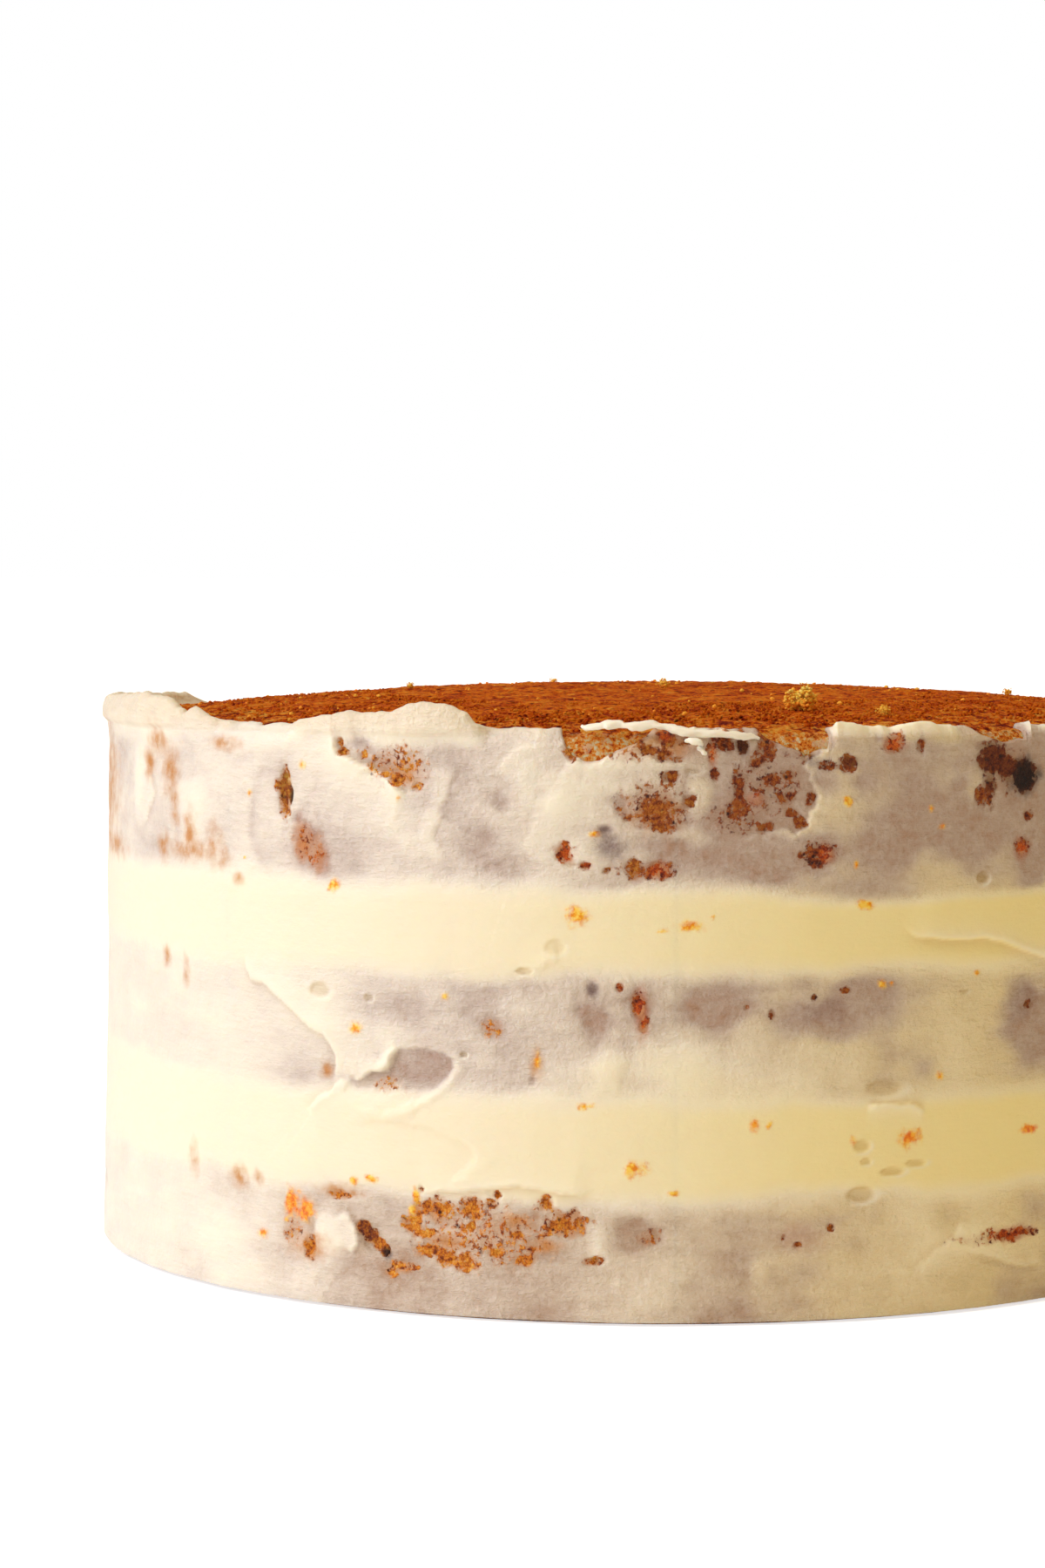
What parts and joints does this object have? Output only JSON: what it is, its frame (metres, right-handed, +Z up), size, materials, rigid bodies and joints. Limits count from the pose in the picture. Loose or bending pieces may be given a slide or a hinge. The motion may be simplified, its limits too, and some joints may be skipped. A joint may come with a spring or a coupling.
{
  "type": "carrot cake",
  "caption": "Round layered carrot cake with cream-cheese fillings, a thin scraped coat of frosting round its side, a ragged lip and a bare domed top.",
  "frame": {"origin": "centre of the cake's round base, on the surface that it stands on", "axes": "+Z up along the cake's axis; -Y is the side that was pictured; +X to the right seen from there"},
  "size_m": [0.2047, 0.2035, 0.1022],
  "materials": {
    "sponge": "torn moist crumb, matte",
    "filling": "smooth cream-cheese frosting, soft satin",
    "crust": "baked brown crust, grainy, matte",
    "coat": "thin translucent cream-cheese frosting, soft satin"
  },
  "bodies": {
    "root": {"sponge_bottom": "sponge", "filling_lower": "filling", "sponge_middle": "sponge", "filling_upper": "filling", "sponge_top": "crust", "coat": "coat"}
  },
  "joints": []
}
